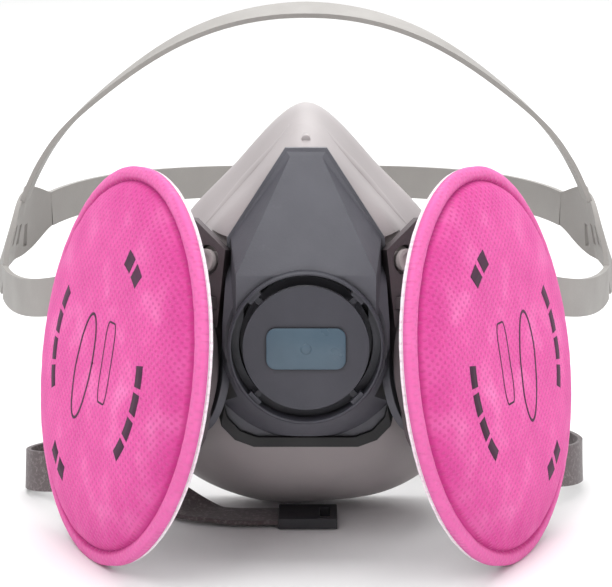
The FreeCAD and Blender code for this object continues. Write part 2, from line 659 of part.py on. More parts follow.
def strap_button(side):
    """Round button on the strap's end, standing in the ear's hole, with a dished head."""
    low = size("strap_level") + size("strap_thick") / 2
    top = size("button_top")
    button = ear_cylinder(side, size("button_radius"), low, top)
    head = ear_cylinder(side, size("button_head"), top - 1.5, top)
    dish = ear_cylinder(side, size("button_head") - 1.1, top - 0.7, top + 1)
    return button.fuse(head).cut(dish).removeSplitter()


def mirrored(points):
    return [((-spot[0],) + spot[1:], (-wide[0],) + wide[1:]) for spot, wide in points]


def strap_curve(spots):
    curve = Part.BSplineCurve()
    curve.interpolate([Vector(*spot) for spot in spots])
    return curve


def strap_frames(points, parts):
    """Middle, length, width and thickness directions of a strap at parts of its run."""
    centre = strap_curve([spot for spot, wide in points])
    knots = [centre.parameter(Vector(*spot)) for spot, wide in points]
    frames = []
    for part in parts:
        place = centre.FirstParameter + part * (centre.LastParameter - centre.FirstParameter)
        before = max(index for index in range(len(knots) - 1)
                     if index == 0 or knots[index] <= place)
        blend = (place - knots[before]) / (knots[before + 1] - knots[before])
        wide = Vector(*points[before][1]) * (1 - blend) + Vector(*points[before + 1][1]) * blend
        along = centre.tangent(place)[0]
        across = (wide - along * wide.dot(along)).normalize()
        frames.append((centre.value(place), along, across, along.cross(across).normalize()))
    return frames


def band(points, width, thick, sections=22, taper=None):
    """Flat strap along a smooth curve, lofted from rectangles turned to its width direction."""
    parts = [index / (sections - 1) for index in range(sections)]
    wires = []
    for part, (middle, along, across, normal) in zip(parts, strap_frames(points, parts)):
        spread = across * (taper(part) if taper else width) / 2
        deep = normal * thick / 2
        ring = [middle + spread + deep, middle + spread - deep,
                middle - spread - deep, middle - spread + deep]
        wires.append(Part.makePolygon(ring + ring[:1]))
    return Part.makeLoft(wires, True, False)


def flip(points, side):
    """The left side's points, or their mirror image on the right side."""
    return points if side < 0 else mirrored(points)


def in_port_frame(side, across, up, out):
    return port_frame(side).multVec(Vector(across, -side * up, out))


def strap_end_width(part):
    """Width of the upper strap, a little narrower at its buttoned end."""
    wide = size("strap_width")
    return wide - (wide - 2 * size("strap_end")) * max(0.0, 1 - 10 * part)


def upper_strap(side, tab):
    """Strap from the button behind the wing's ear to the side tab."""
    level = size("strap_level")
    thick = size("strap_thick")
    end_radius = size("strap_end")
    start = ear_frame(side).multVec(Vector(0, 0, level))
    points = [((start.x, start.y, start.z), (-0.107 * side, 0.137, 0.985))]
    points += flip(UPPER_STRAP, side)
    strap = band(points, size("strap_width"), thick, 28, strap_end_width)
    end = ear_cylinder(side, end_radius, level - thick / 2, level + thick / 2)
    trim = ear_slab(side, STRAP_TRIM, -20, 10)
    return largest(strap.fuse(end).cut([tab, strap_button(side), trim]))


def tab_width(part):
    """The side tab swells between the straps that it joins."""
    narrow = size("strap_width")
    return narrow + (size("tab_height") - narrow) * math.sin(math.pi * part) ** 1.2


def side_tab(side):
    """Flexible tab that joins the three straps, with a ladder of slanted slots."""
    points = flip(SIDE_TAB, side)
    tab = band(points, size("strap_width"), size("strap_thick"), 22, tab_width)
    parts = [0.34 + 0.09 * index for index in range(5)]
    for index, (spot, along, across, normal) in enumerate(strap_frames(points, parts)):
        middle = spot + across * (4.0 - 2.4 * index)
        slot = Part.makeBox(1.5, 9.0, 8.0, Vector(-0.75, -4.5, -4.0))
        slot.Placement = FreeCAD.Placement(FreeCAD.Matrix(
            along.x, across.x, normal.x, middle.x, along.y, across.y, normal.y, middle.y,
            along.z, across.z, normal.z, middle.z, 0, 0, 0, 1))
        tab = tab.cut(slot)
    return tab


def both_sides(points):
    """A whole strap from its left half, whose last point lies on the middle plane."""
    return points + list(reversed(mirrored(points[:-1])))


ANCHOR_SPOT = (-12.0, 24.2)


def strap_anchor(side):
    """Lug at the foot of the wing that the neck strap is threaded through."""
    top = size("plate_top")
    lug = Part.makeBox(14, 5.4, 3.4, Vector(-7, -2.7, 0))
    lug = lug.cut(Part.makeBox(9, 2, 10, Vector(-4.5, -1, 1.2)))
    spot = Vector(ANCHOR_SPOT[0], side * ANCHOR_SPOT[1], top)
    lug.Placement = port_frame(side).multiply(FreeCAD.Placement(spot, FreeCAD.Rotation()))
    return lug


def neck_strap(side, points, sections):
    """Neck strap that starts just below its lug and follows its points."""
    start = in_port_frame(side, ANCHOR_SPOT[0], -ANCHOR_SPOT[1] - 4.2, size("plate_top") + 1.6)
    points = [((start.x, start.y, start.z), (-0.3 * side, 0.2, 0.9))] + points
    strap = band(points, size("elastic_width"), size("elastic_thick"), sections)
    wing_room = port_slab(side, WING_PLATE, -20, size("plate_top") + 0.1)
    return largest(strap.cut([strap_anchor(side), wing_room]))


def neck_parts():
    """Neck straps with a hook, an end tail and a buckle that slides along the tail."""
    width = size("elastic_width")
    thick = size("elastic_thick")
    left = neck_strap(-1, NECK_STRAP_LEFT, 44)
    keep_shape("neck_strap_left", left)
    keep_shape("neck_strap_right", neck_strap(1, NECK_STRAP_RIGHT, 36))

    end = Vector(*NECK_STRAP_LEFT[-1][0])
    hook = Part.makeBox(17, 14, 3.0, Vector(end.x - 4, end.y - 7, 0.3))
    hook = hook.cut(Part.makeBox(3, 9, 5, Vector(end.x + 8, end.y - 4.5, 0)))
    keep_shape("neck_hook", largest(hook.cut(left)))

    tail_start = NECK_STRAP_RIGHT[-1][0]
    tail = doc.addObject("Part::Box", "neck_tail")
    tail.Length = tail_start[0] - TAIL_END
    tail.setExpression("Width", "dims.elastic_thick")
    tail.setExpression("Height", "dims.elastic_width")
    corner = Vector(TAIL_END, tail_start[1] - thick / 2, tail_start[2] - width / 2)
    keep(tail, "neck_tail", FreeCAD.Placement(corner, FreeCAD.Rotation()))

    outer = doc.addObject("Part::Box", "buckle_outer")
    outer.setExpression("Length", "dims.buckle_length")
    outer.setExpression("Width", "dims.elastic_thick + 3.8")
    outer.setExpression("Height", "dims.elastic_width + 3.2")
    slot = doc.addObject("Part::Box", "buckle_slot")
    slot.setExpression("Length", "dims.buckle_length + 2")
    slot.setExpression("Width", "dims.elastic_thick + 0.6")
    slot.setExpression("Height", "dims.elastic_width + 0.6")
    slot.Placement.Base = Vector(-1, 1.6, 1.3)
    buckle = doc.addObject("Part::Cut", "neck_buckle")
    buckle.Base = outer
    buckle.Tool = slot
    middle = (tail_start[0] + TAIL_END) / 2 - size("buckle_length") / 2
    spot = Vector(middle, tail_start[1] - (thick + 3.8) / 2, tail_start[2] - (width + 3.2) / 2)
    keep(buckle, "neck_buckle", FreeCAD.Placement(spot, FreeCAD.Rotation()))


def build():
    """Every sub-part of the respirator."""
    fill_sheet()
    adapter = centre_adapter()
    keep_shape("center_adapter", adapter)
    keep_shape("adapter_seal", adapter_seal())
    exhalation_parts()

    low = size("plate_top") - size("plate_thick")
    cutters = []
    tabs = {}
    for side, name in ((-1, "left"), (1, "right")):
        tabs[name] = side_tab(side)
        keep_shape("side_tab_" + name, tabs[name])
        keep_shape("upper_strap_" + name, upper_strap(side, tabs[name]))
        keep_shape("strap_button_" + name, strap_button(side))
        keep_shape("yoke_wing_" + name, yoke_wing(side, adapter))
        keep_shape("strap_anchor_" + name, strap_anchor(side))
        port_parts(side, name)
        filter_parts(side, name)
        cutters += [port_slab(side, outline, low, 30) for outline in (WING_PLATE, WING_BRIDGE)]
        cutters.append(port_cylinder(side, size("port_flange") + 0.4, -13, 30))
        cutters.append(ear_slab(side, EAR_HOLLOW, size("strap_level") - 2.1, 30))
    keep_shape("facepiece", facepiece(cutters))

    width = size("strap_width")
    thick = size("strap_thick")
    ends = list(tabs.values())
    keep_shape("crown_strap", largest(band(both_sides(CROWN_STRAP), width, thick, 48).cut(ends)))
    keep_shape("rear_strap", largest(band(both_sides(REAR_STRAP), width, thick, 40).cut(ends)))
    neck_parts()


def check_and_write():
    """Stop at a failed or invalid object, then write each sub-part to its own file."""
    doc.recompute()
    for thing in doc.Objects:
        if "Invalid" in thing.State or "Error" in thing.State:
            raise RuntimeError(f"{thing.Label} failed: {thing.State}")
    for thing in sub_parts:
        if thing.Shape.isNull() or not thing.Shape.isValid():
            raise RuntimeError(f"{thing.Label} has no valid shape")
    os.makedirs("parts", exist_ok=True)
    box = FreeCAD.BoundBox()
    for thing in sub_parts:
        thing.Shape.exportStep(os.path.join("parts", thing.Label + ".step"))
        box.add(thing.Shape.BoundBox)
        print(thing.Label, len(thing.Shape.Solids), round(thing.Shape.Volume, 1))
    print("box", [round(number, 2) for number in (box.XMin, box.XMax, box.YMin, box.YMax,
                                                 box.ZMin, box.ZMax)])


build()
check_and_write()
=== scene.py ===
import json
import math

import bpy
from mathutils import Matrix, Vector, noise
from mathutils.bvhtree import BVHTree


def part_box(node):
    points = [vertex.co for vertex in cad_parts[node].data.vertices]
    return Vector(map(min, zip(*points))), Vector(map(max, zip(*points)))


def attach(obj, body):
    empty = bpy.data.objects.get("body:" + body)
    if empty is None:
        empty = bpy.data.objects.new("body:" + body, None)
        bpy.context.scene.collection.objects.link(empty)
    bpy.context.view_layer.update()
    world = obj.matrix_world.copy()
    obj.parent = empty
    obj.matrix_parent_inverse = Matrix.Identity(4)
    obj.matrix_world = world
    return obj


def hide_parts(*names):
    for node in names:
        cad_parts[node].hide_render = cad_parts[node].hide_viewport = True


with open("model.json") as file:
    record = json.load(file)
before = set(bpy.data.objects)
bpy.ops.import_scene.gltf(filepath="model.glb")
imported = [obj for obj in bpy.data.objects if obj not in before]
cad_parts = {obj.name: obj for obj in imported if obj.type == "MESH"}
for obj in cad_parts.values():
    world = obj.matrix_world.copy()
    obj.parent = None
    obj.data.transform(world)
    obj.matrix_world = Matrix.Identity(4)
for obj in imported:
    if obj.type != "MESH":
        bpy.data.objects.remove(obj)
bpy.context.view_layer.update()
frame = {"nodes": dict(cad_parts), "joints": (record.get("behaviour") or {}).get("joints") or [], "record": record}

MM = 0.001
SIDES = (("left", -1.0), ("right", 1.0))

# Filter webs, in mm.
WELD_WIDTH = 3.6
PINK_OVERHANG = 0.3
PINK_SKIN = -1.9
WHITE_SKIN = 0.7
PINK_SEAM_RADIUS = 50.4
HUB_RADIUS = 19.6
PINK_START_RADIUS = 0.4
BOND_PITCH = 1.9
# Printed marks, in mm: how far they stand proud and how thick they are.
PRINT_RISE = 0.07
PRINT_THICK = 0.15
# Camera: angle above level, then distance and rise of the aim in metres, and lens in mm.
CAMERA_ELEVATION = math.radians(12.0)
CAMERA_DISTANCE = 0.570
CAMERA_RISE = 0.0195
CAMERA_LENS = 123.0


# ---------------------------------------------------------------- places, worked out from the frame

def joint(name):
    return next(item for item in frame["joints"] if item["name"] == name)


def port_matrix(name):
    """Frame of one inhalation port: Z out of the port, X forwards and to the middle, Y upwards."""
    turn = joint(f"filter_{name}_turn")
    out = Vector(turn["axis"]).normalized()
    inward = Vector((out.y, -out.x, 0.0)).normalized()
    if inward.y > 0:
        inward = -inward
    upward = Vector((0.0, 0.0, 1.0)) - out * out.z
    matrix = Matrix((inward, upward.normalized(), out)).transposed().to_4x4()
    matrix.translation = Vector(turn["pos_m"])
    return matrix


def node_height(matrix, node):
    """Lowest and highest point of a node along a frame's Z axis, in metres."""
    inverse = matrix.inverted()
    heights = [(inverse @ vertex.co).z for vertex in frame["nodes"][node].data.vertices]
    return min(heights), max(heights)


# ---------------------------------------------------------------- materials

class Paint:
    """A procedural material: short calls that add nodes and return their output sockets."""

    def __init__(self, name, color, roughness):
        self.material = bpy.data.materials.new(name)
        self.material.use_nodes = True
        self.tree = self.material.node_tree
        self.shader = self.tree.nodes["Principled BSDF"]
        self.shader.inputs["Base Color"].default_value = (*color, 1.0)
        self.shader.inputs["Roughness"].default_value = roughness

    def node(self, kind, **settings):
        made = self.tree.nodes.new(kind)
        for key, setting in settings.items():
            setattr(made, key, setting)
        return made

    def link(self, output, target):
        self.tree.links.new(output, target)

    def place(self, source="Object"):
        return self.node("ShaderNodeTexCoord").outputs[source]

    def noise(self, scale, detail=3.0, rough=0.5, source=None, stretch=None):
        texture = self.node("ShaderNodeTexNoise")
        texture.inputs["Scale"].default_value = scale
        texture.inputs["Detail"].default_value = detail
        texture.inputs["Roughness"].default_value = rough
        where = source or self.place()
        if stretch:
            mapping = self.node("ShaderNodeMapping")
            mapping.inputs["Scale"].default_value = stretch
            self.link(where, mapping.inputs["Vector"])
            where = mapping.outputs["Vector"]
        self.link(where, texture.inputs["Vector"])
        return texture.outputs["Fac"]

    def ramp(self, factor, stops):
        made = self.node("ShaderNodeValToRGB")
        band = made.color_ramp
        while len(band.elements) < len(stops):
            band.elements.new(0.5)
        for element, (spot, color) in zip(band.elements, stops):
            element.position = spot
            element.color = (*color, 1.0)
        self.link(factor, made.inputs["Fac"])
        return made.outputs["Color"]

    def grey(self, factor, low, high, start=0.3, end=0.7):
        """A number that runs from low to high as the factor runs from start to end."""
        made = self.node("ShaderNodeMapRange")
        limits = (("From Min", start), ("From Max", end), ("To Min", low), ("To Max", high))
        for key, setting in limits:
            made.inputs[key].default_value = setting
        self.link(factor, made.inputs["Value"])
        return made.outputs["Result"]

    def math(self, operation, first, second=None):
        made = self.node("ShaderNodeMath", operation=operation)
        for index, term in enumerate((first, second)):
            if term is None:
                continue
            if isinstance(term, (int, float)):
                made.inputs[index].default_value = term
            else:
                self.link(term, made.inputs[index])
        return made.outputs[0]

    def mix(self, factor, first, second):
        made = self.node("ShaderNodeMix", data_type="RGBA")
        self.link(factor, made.inputs["Factor"])
        for socket, term in ((made.inputs[6], first), (made.inputs[7], second)):
            if isinstance(term, tuple):
                socket.default_value = (*term, 1.0)
            else:
                self.link(term, socket)
        return made.outputs[2]

    def bump(self, height, strength, distance, under=None):
        made = self.node("ShaderNodeBump")
        made.inputs["Strength"].default_value = strength
        made.inputs["Distance"].default_value = distance
        self.link(height, made.inputs["Height"])
        if under:
            self.link(under, made.inputs["Normal"])
        return made.outputs["Normal"]

    def set(self, socket, term):
        target = self.shader.inputs[socket]
        if isinstance(term, (int, float, tuple)):
            target.default_value = term
        else:
            self.link(term, target)

    def painted_crevice_shade(self, distance, low=0.0):
        """Painted shade: darkening in corners and seams, from the geometry alone."""
        made = self.node("ShaderNodeAmbientOcclusion")
        made.inputs["Distance"].default_value = distance
        made.samples = 8
        return self.grey(made.outputs["AO"], low, 1.0, 0.25, 0.8)


def moulded(name, color, roughness, grain=1500.0, depth=0.00012, mottle=0.12, corners=0.0):
    """Moulded plastic or rubber: fine spark-eroded grain, faint flow mottling and scuffs, with painted shade in
    corners and seams when corners is set.
    """
    paint = Paint(name, color, roughness)
    broad = paint.noise(28.0, 4.0, 0.6)
    fine = paint.noise(grain, 2.0, 0.6)
    dust = paint.noise(260.0, 6.0, 0.7)
    dark = tuple(channel * (1.0 - mottle) for channel in color)
    light = tuple(min(1.0, channel * (1.0 + mottle) + 0.004) for channel in color)
    base = paint.ramp(broad, [(0.35, dark), (0.65, light)])
    speck = paint.grey(dust, 0.0, 0.10, 0.62, 0.74)
    pale = tuple(min(1.0, channel * 1.5 + 0.05) for channel in color)
    base = paint.mix(speck, base, pale)
    # Painted shade: the base colour runs to near black in corners and seams within the corners distance, in
    # metres.
    if corners:
        shade = paint.painted_crevice_shade(corners)
        base = paint.mix(shade, tuple(channel * 0.06 for channel in color), base)
    paint.set("Base Color", base)
    paint.set("Roughness", paint.grey(paint.noise(90.0, 3.0), roughness - 0.07, roughness + 0.08))
    soft = paint.bump(broad, 0.12, 0.0006)
    paint.set("Normal", paint.bump(fine, 0.45, depth, soft))
    return paint.material


def elastomer(name, color):
    """Soft matte elastomer with a faint skin sheen."""
    paint = Paint(name, color, 0.5)
    broad = paint.noise(18.0, 3.0, 0.55)
    dark = tuple(channel * 0.93 for channel in color)
    light = tuple(channel * 1.05 for channel in color)
    paint.set("Base Color", paint.ramp(broad, [(0.3, dark), (0.7, light)]))
    paint.set("Roughness", paint.grey(paint.noise(60.0, 4.0), 0.42, 0.58))
    soft = paint.bump(paint.noise(45.0, 2.0), 0.10, 0.0008)
    paint.set("Normal", paint.bump(paint.noise(2600.0, 2.0), 0.25, 0.00006, soft))
    paint.set("Sheen Weight", 0.15)
    paint.set("Sheen Roughness", 0.5)
    paint.set("Subsurface Weight", 0.06)
    paint.set("Subsurface Radius", (0.9, 0.7, 0.6))
    paint.set("Subsurface Scale", 0.002)
    return paint.material


def nonwoven(name, color, deep, pale, rim=0.0):
    """Point-bonded nonwoven: diagonal grid of bond dimples over mottled, streaky fibres.

    The UV map of a filter web holds its flat coordinates in millimetres."""
    paint = Paint(name, color, 0.85)
    flat = paint.place("UV")
    cells = paint.node("ShaderNodeMapping")
    cells.inputs["Rotation"].default_value = (0.0, 0.0, math.radians(38.0))
    cells.inputs["Scale"].default_value = (1.0 / BOND_PITCH, 1.0 / (0.8 * BOND_PITCH), 1.0)
    paint.link(flat, cells.inputs["Vector"])
    wave = paint.node("ShaderNodeVectorMath", operation="FRACTION")
    paint.link(cells.outputs["Vector"], wave.inputs[0])
    middle = paint.node("ShaderNodeVectorMath", operation="DISTANCE")
    paint.link(wave.outputs["Vector"], middle.inputs[0])
    middle.inputs[1].default_value = (0.5, 0.5, 0.0)
    dimple = paint.grey(middle.outputs["Value"], 0.0, 1.0, 0.16, 0.36)

    mottle = paint.noise(0.07, 3.0, 0.5, flat)
    streak = paint.noise(2.2, 4.0, 0.7, flat, (1.0, 0.22, 1.0))
    cross = paint.noise(2.6, 4.0, 0.7, flat, (0.25, 1.0, 1.0))
    fibre = paint.math("MULTIPLY", paint.math("ADD", streak, cross), 0.5)
    half_deep = tuple((first + 2 * second) / 3 for first, second in zip(deep, color))
    base = paint.ramp(mottle, [(0.3, half_deep), (0.52, color), (0.8, pale)])
    base = paint.mix(paint.grey(fibre, 0.0, 0.4, 0.45, 0.66), base, pale)
    bonded = paint.math("MULTIPLY", paint.math("SUBTRACT", 1.0, dimple), 0.5)
    base = paint.mix(bonded, base, deep)
    if rim:
        radius = paint.node("ShaderNodeVectorMath", operation="LENGTH")
        paint.link(flat, radius.inputs[0])
        apart = paint.math("ABSOLUTE", paint.math("SUBTRACT", radius.outputs["Value"], rim))
        seam = paint.grey(apart, 0.75, 0.0, 0.1, 1.1)
        outside = paint.grey(radius.outputs["Value"], 0.0, 0.45, rim, rim + 1.4)
        # Painted shade: the web darkens towards the deep colour over the 16 mm inside the seam, where the dome
        # falls away.
        painted_rim_shade = paint.grey(radius.outputs["Value"], 0.0, 0.5, rim - 16.0, rim)
        base = paint.mix(painted_rim_shade, base, deep)
        base = paint.mix(outside, base, pale)
        base = paint.mix(seam, base, deep)
    paint.set("Base Color", base)
    paint.set("Roughness", paint.grey(dimple, 0.55, 0.9, 0.0, 1.0))
    under = paint.bump(fibre, 0.5, 0.00025)
    paint.set("Normal", paint.bump(dimple, 0.6, 0.00022, under))
    paint.set("Sheen Weight", 0.45)
    paint.set("Sheen Roughness", 0.45)
    paint.set("Sheen Tint", (*pale, 1.0))
    paint.set("Subsurface Weight", 0.25)
    paint.set("Subsurface Radius", (1.0, 0.5, 0.6))
    paint.set("Subsurface Scale", 0.0015)
    return paint.material


def woven_elastic(name, color):
    """Ribbed woven elastic: fine ribs across the strap and rubber cores along it."""
    paint = Paint(name, color, 0.8)
    flat = paint.place("UV")
    ribs = paint.node("ShaderNodeTexWave", wave_type="BANDS", bands_direction="X")
    ribs.inputs["Scale"].default_value = 0.42
    ribs.inputs["Distortion"].default_value = 0.4
    ribs.inputs["Detail"].default_value = 2.0
    paint.link(flat, ribs.inputs["Vector"])
    cores = paint.node("ShaderNodeTexWave", wave_type="BANDS", bands_direction="Y")
    cores.inputs["Scale"].default_value = 0.3
    cores.inputs["Distortion"].default_value = 0.2
    paint.link(flat, cores.inputs["Vector"])
    core = paint.grey(cores.outputs["Fac"], 0.6, 1.0, 0.0, 1.0)
    weave = paint.math("MULTIPLY", ribs.outputs["Fac"], core)
    dark = tuple(channel * 0.4 for channel in color)
    fuzz = paint.noise(900.0, 4.0, 0.7)
    base = paint.ramp(weave, [(0.1, dark), (0.8, color)])
    lint = paint.grey(fuzz, 0.0, 0.3, 0.5, 0.7)
    paint.set("Base Color", paint.mix(lint, base, (0.5, 0.45, 0.45)))
    paint.set("Normal", paint.bump(weave, 0.9, 0.0005, paint.bump(fuzz, 0.3, 0.0001)))
    paint.set("Sheen Weight", 0.3)
    return paint.material


# ---------------------------------------------------------------- meshes

def mesh_piece(name, points, faces, body, material, replaced=(), flat=None):
    """A piece from points and faces, with its body, material and flat coordinates; it hides the CAD nodes it
    replaces.
    """
    mesh = bpy.data.meshes.new(name)
    mesh.from_pydata(points, [], faces)
    mesh.validate()
    piece = bpy.data.objects.new(name, mesh)
    bpy.context.scene.collection.objects.link(piece)
    mesh.polygons.foreach_set("use_smooth", [True] * len(mesh.polygons))
    if flat:
        layer = mesh.uv_layers.new(name="flat")
        for loop in mesh.loops:
            layer.data[loop.index].uv = flat[loop.vertex_index]
    mesh.materials.append(material)
    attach(piece, body)
    if replaced:
        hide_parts(*replaced)
    return piece


def ring_faces(count, rings):
    """Faces of a closed stack of rings: a cap at each end and quads between them."""
    faces = [tuple(reversed(range(count)))]
    for ring in range(rings - 1):
        for index in range(count):
            after = (index + 1) % count
            faces.append((ring * count + index, ring * count + after,
                          (ring + 1) * count + after, (ring + 1) * count + index))
    top = (rings - 1) * count
    faces.append(tuple(range(top, top + count)))
    return faces


def filter_web(name, matrix, profile, inner, outer, skin, seed, rings, body, material, node):
    """Round web as a closed skin: profile gives the outer face's height at a radius, in mm."""
    turns = 300
    spots = []
    flat = []
    layers = []
    span = [inner + (outer - inner) * index / rings for index in range(rings + 1)]
    radii = [(radius, 0.0) for radius in span]
    radii += [(outer - (outer - inner) * index / 14, skin) for index in range(15)]
    for radius, under in radii:
        layer = []
        for turn in range(turns):
            angle = math.tau * turn / turns
            across = radius * math.cos(angle)
            up = radius * math.sin(angle)
            height = profile(radius) + under
            if not under:
                height += web_relief(radius, angle, across, up, inner, outer, seed, skin)
            layer.append(len(spots))
            spots.append(matrix @ (Vector((across, up, height)) * MM))
            flat.append((across, up))
        layers.append(layer)
    layers.append(layers[0])
    faces = []
    for near, far in zip(layers, layers[1:]):
        for turn in range(turns):
            after = (turn + 1) % turns
            corners = (near[turn], near[after], far[after], far[turn])
            faces.append(corners if skin > 0 else corners[::-1])
    return mesh_piece(name, spots, faces, body, material, (node,), flat)


def web_relief(radius, angle, across, up, inner, outer, seed, skin):
    """Sag and radial puckers beside the weld, as a height in mm."""
    edge = outer - WELD_WIDTH
    if radius > edge:
        return 0.10 * noise.noise(Vector((across * 0.3, up * 0.3, seed)))
    side = 1.0 if skin < 0 else -1.0
    ease = min(1.0, (edge - radius) / 3.0)
    pucker = math.exp(-(edge - radius) / 6.0) * ease
    round_place = Vector((math.cos(angle) * 11.0, math.sin(angle) * 11.0, seed + radius * 0.03))
    spoke = noise.noise(round_place)
    sag = noise.noise(Vector((across * 0.045, up * 0.045, seed + 5.0)))
    creases = noise.noise(Vector((across * 0.16, up * 0.16, seed + 9.0)))
    return side * (0.45 * spoke * pucker + 0.3 * sag * ease + 0.10 * creases * ease)


def ribbon(name, places, width, height_at, matrix, body, closed):
    """Printed line: a thin closed slab of an even width that follows a filter's face."""
    spots = []
    count = len(places)
    for index, place in enumerate(places):
        before = places[index - 1] if closed or index else place
        after = places[(index + 1) % count] if closed or index < count - 1 else place
        along = (after - before).normalized()
        aside = Vector((-along.y, along.x)) * width / 2
        for edge, sink in ((place + aside, 0.0), (place - aside, 0.0),
                           (place - aside, PRINT_THICK), (place + aside, PRINT_THICK)):
            spots.append(matrix @ (Vector((edge.x, edge.y, height_at(edge) - sink)) * MM))
    faces = []
    for index in range(count if closed else count - 1):
        near = 4 * index
        far = 4 * ((index + 1) % count)
        for corner in range(4):
            following = (corner + 1) % 4
            faces.append((near + corner, near + following, far + following, far + corner))
    if not closed:
        faces.append((3, 2, 1, 0))
        faces.append(tuple(range(4 * count - 4, 4 * count)))
    return mesh_piece(name, spots, faces, body, INK)


def oval(centre, half_wide, half_high, turn, count=72):
    """Points round an oval turned by an angle."""
    spots = []
    for index in range(count):
        angle = math.tau * index / count
        spot = Vector((half_wide * math.cos(angle), half_high * math.sin(angle)))
        spot.rotate(Matrix.Rotation(turn, 2))
        spots.append(Vector(centre) + spot)
    return spots


def print_marks(name, matrix, front, outer, seed, body):
    """Plain printed marks without letters: an oval, a frame and rows of dashes."""
    lean = -1.0 if name == "left" else 1.0

    def height_at(place):
        radius = place.length
        angle = math.atan2(place.y, place.x)
        relief = web_relief(radius, angle, place.x, place.y, PINK_START_RADIUS, outer + PINK_OVERHANG,
                            seed, PINK_SKIN)
        return front(radius) + relief + PRINT_RISE

    tilt = math.radians(8.0) * lean
    ribbon(f"mark_oval_{name}", oval((-6.0, -2.0), 5.2, 15.0, tilt), 0.8, height_at, matrix, body,
           True)
    frame_points = [Vector((9.0 + 6.0 * x, 2.0 + 22.0 * y)) for x, y in FRAME_MARK]
    ribbon(f"mark_frame_{name}", frame_points, 0.5, height_at, matrix, body, True)
    for index, (start, end, reach, width) in enumerate(DASHES):
        count = 14
        dash = []
        for step in range(count):
            angle = math.radians(start + (end - start) * step / (count - 1))
            dash.append(Vector((reach * math.cos(angle), reach * math.sin(angle))))
        ribbon(f"mark_dash_{index}_{name}", dash, width, height_at, matrix, body, False)


def rounded_frame(side=8, corner=0.25):
    """Points round a unit square with rounded corners, from -0.5 to 0.5."""
    spots = []
    for quarter in range(4):
        middle = Vector((0.5 - corner, 0.5 - corner))
        middle.rotate(Matrix.Rotation(quarter * math.pi / 2, 2))
        for step in range(side):
            angle = quarter * math.pi / 2 + step / (side - 1) * math.pi / 2
            spots.append((middle.x + corner * math.cos(angle), middle.y + corner * math.sin(angle)))
    filled = []
    for near, far in zip(spots, spots[1:] + spots[:1]):
        filled.append(near)
        gap = math.hypot(far[0] - near[0], far[1] - near[1])
        pieces = int(gap / 0.08)
        for step in range(1, pieces):
            filled.append((near[0] + (far[0] - near[0]) * step / pieces,
                           near[1] + (far[1] - near[1]) * step / pieces))
    return filled


FRAME_MARK = rounded_frame()
# Printed dashes: start and end angle, distance from the middle and width in mm.
DASHES = [(148, 160, 30.0, 3.4), (163, 175, 30.0, 3.4), (178, 190, 30.0, 3.4),
          (193, 205, 30.0, 3.4), (52, 60, 33.0, 4.6), (63, 71, 33.0, 4.6),
          (-42, -31, 30.0, 3.4), (-28, -17, 30.0, 3.4), (-14, -3, 30.0, 3.4),
          (0, 11, 30.0, 3.4), (232, 240, 36.0, 4.6), (243, 251, 36.0, 4.6)]


def make_filter(name):
    """Both webs of one filter, over the CAD weld ring, media and connector."""
    matrix = port_matrix(name)
    body = "filter_unit_" + name
    low, high = node_height(matrix, "filter_front_" + name)
    inverse = matrix.inverted()
    outer = max((inverse @ vertex.co).to_2d().length
                for vertex in frame["nodes"]["filter_front_" + name].data.vertices) / MM
    mid = low / MM
    dome = high / MM - mid
    edge = outer - WELD_WIDTH
    seed = 3.0 if name == "left" else 17.0

    def front(radius):
        if radius >= edge:
            swell = math.sin(math.pi * (radius - edge) / (outer - edge))
            return mid + 0.5 + 0.9 * max(0.0, swell) ** 0.7
        groove = 0.3 * math.exp(-((edge - radius) / 0.8) ** 2)
        rise = (1.0 - (radius / edge) ** 4) ** 0.6
        return mid + 0.5 - groove + (dome - 0.4) * rise

    back_low = node_height(matrix, "filter_back_" + name)[0] / MM

    def back(radius):
        if radius >= edge:
            return mid - 2.6
        reach = (radius - HUB_RADIUS) / (edge - HUB_RADIUS)
        return mid - 2.6 - (mid - 2.6 - back_low) * (1.0 - max(0.0, reach) ** 3.0)

    filter_web(f"pink_web_{name}", matrix, front, PINK_START_RADIUS, outer + PINK_OVERHANG, PINK_SKIN,
               seed, 110, body, PINK, "filter_front_" + name)
    print_marks(name, matrix, front, outer, seed, body)
    filter_web(f"white_web_{name}", matrix, back, HUB_RADIUS, outer, WHITE_SKIN, seed + 4.0, 60, body,
               WHITE_WEB, "filter_back_" + name)


def soften(node, width, segments=3, angle=28.0):
    """Rounds a CAD node's edges without moving its faces."""
    thing = frame["nodes"][node]
    mesh = thing.data
    for name in ("custom_normal", "sharp_edge", "sharp_face"):
        if name in mesh.attributes:
            mesh.attributes.remove(mesh.attributes[name])
    mesh.polygons.foreach_set("use_smooth", [True] * len(mesh.polygons))
    weld = thing.modifiers.new("weld", "WELD")
    weld.merge_threshold = 0.00002
    bevel = thing.modifiers.new("bevel", "BEVEL")
    bevel.width = width * MM
    bevel.segments = segments
    bevel.limit_method = "ANGLE"
    bevel.angle_limit = math.radians(angle)
    bevel.use_clamp_overlap = True
    even = thing.modifiers.new("even", "WEIGHTED_NORMAL")
    even.weight = 90
    return thing


# ---------------------------------------------------------------- finishes

PINK = nonwoven("pink_nonwoven", (0.71, 0.078, 0.335), (0.45, 0.008, 0.18), (0.85, 0.22, 0.50),
                PINK_SEAM_RADIUS)
WHITE_WEB = nonwoven("white_nonwoven", (0.86, 0.74, 0.80), (0.70, 0.52, 0.62), (0.97, 0.92, 0.95))
